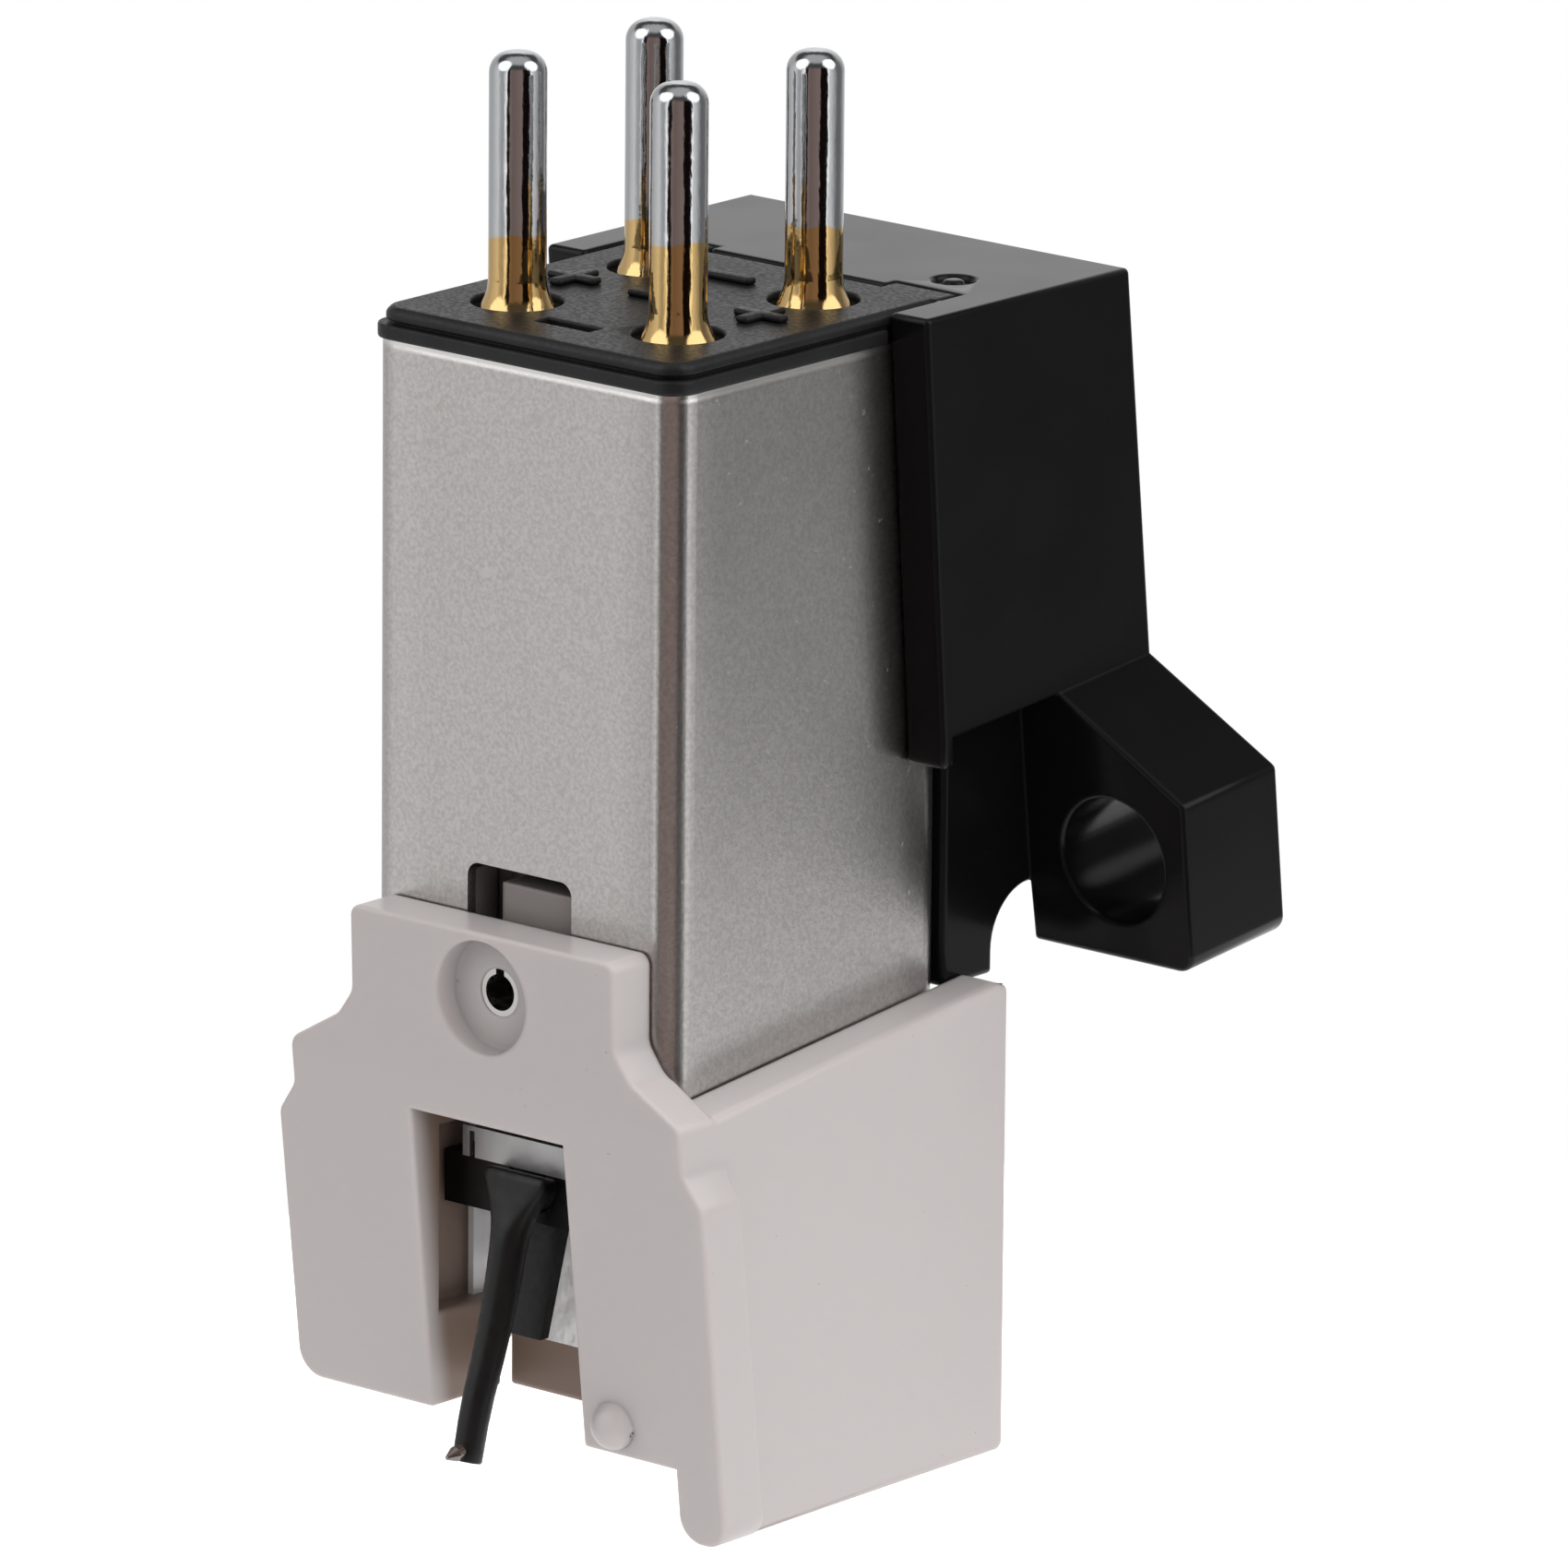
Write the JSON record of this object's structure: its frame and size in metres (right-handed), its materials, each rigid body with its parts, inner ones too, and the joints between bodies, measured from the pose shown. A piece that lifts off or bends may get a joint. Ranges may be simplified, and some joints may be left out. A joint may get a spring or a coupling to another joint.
{
  "type": "turntable stylus cartridge",
  "caption": "Moving-magnet turntable cartridge with a shield can, terminal pins, drilled mounting ears and a pull-off stylus unit with a sprung cantilever.",
  "frame": {"origin": "midway between the two mounting holes, on the mounting face", "axes": "+Y out of the mounting face towards the headshell, +Z along that face towards the terminal pins, +X across"},
  "size_m": [0.0166, 0.0175, 0.0301],
  "materials": {
    "black_moulding": "glossy moulded",
    "cap_moulding": "fine matt moulded",
    "can_sheet": "satin tinned sheet",
    "terminal_plating": "gold plated, ends tinned",
    "strap_metal": "bright sheet",
    "bobbin_moulding": "moulded",
    "coil_wire": "enamelled copper",
    "core_steel": "annealed laminations",
    "holder_moulding": "glossy moulded, warm grey",
    "spring_steel": "bright rolled sheet",
    "carrier_moulding": "fine moulded",
    "damper_rubber": "soft",
    "sleeve_sheet": "bright pressed sheet",
    "magnet": "ground sintered",
    "cantilever_tube": "satin black",
    "diamond": "polished",
    "wire_steel": "drawn"
  },
  "bodies": {
    "cartridge": {"bracket": "black_moulding", "shield_can": "can_sheet", "terminal_block": "cap_moulding", "ground_strap": "strap_metal", "left_signal_pin": "terminal_plating", "left_return_pin": "terminal_plating", "right_signal_pin": "terminal_plating", "right_return_pin": "terminal_plating", "left_core": "core_steel", "left_front_bobbin": "bobbin_moulding", "left_front_winding": "coil_wire", "left_rear_bobbin": "bobbin_moulding", "left_rear_winding": "coil_wire", "right_core": "core_steel", "right_front_bobbin": "bobbin_moulding", "right_front_winding": "coil_wire", "right_rear_bobbin": "bobbin_moulding", "right_rear_winding": "coil_wire"},
    "stylus_unit": {"stylus_holder": "holder_moulding", "roll_pin": "spring_steel", "suspension_carrier": "carrier_moulding", "retaining_plate": "sleeve_sheet", "suspension_sleeve": "sleeve_sheet", "tension_wire": "wire_steel"},
    "damper_ring": {"damper": "damper_rubber"},
    "cantilever_unit": {"cantilever": "cantilever_tube", "stylus": "diamond", "magnet_yoke": "carrier_moulding", "left_magnet": "magnet", "right_magnet": "magnet"}
  },
  "joints": [
    {"name": "stylus_release", "type": "slide", "parent": "cartridge", "child": "stylus_unit", "axis": [0, -0.1045, -0.9945], "range_m": [0, 0.008]},
    {"name": "cantilever_swing", "type": "hinge", "parent": "stylus_unit", "child": "damper_ring", "pos_m": [0, -0.01393, -0.00469], "axis": [0, 0.9945, -0.1045], "range_deg": [-3, 3], "stiffness_Nm_per_rad": 0.005},
    {"name": "cantilever_lift", "type": "hinge", "parent": "damper_ring", "child": "cantilever_unit", "pos_m": [0, -0.01393, -0.00469], "axis": [1, 0, 0], "range_deg": [-3, 3], "stiffness_Nm_per_rad": 0.005}
  ]
}
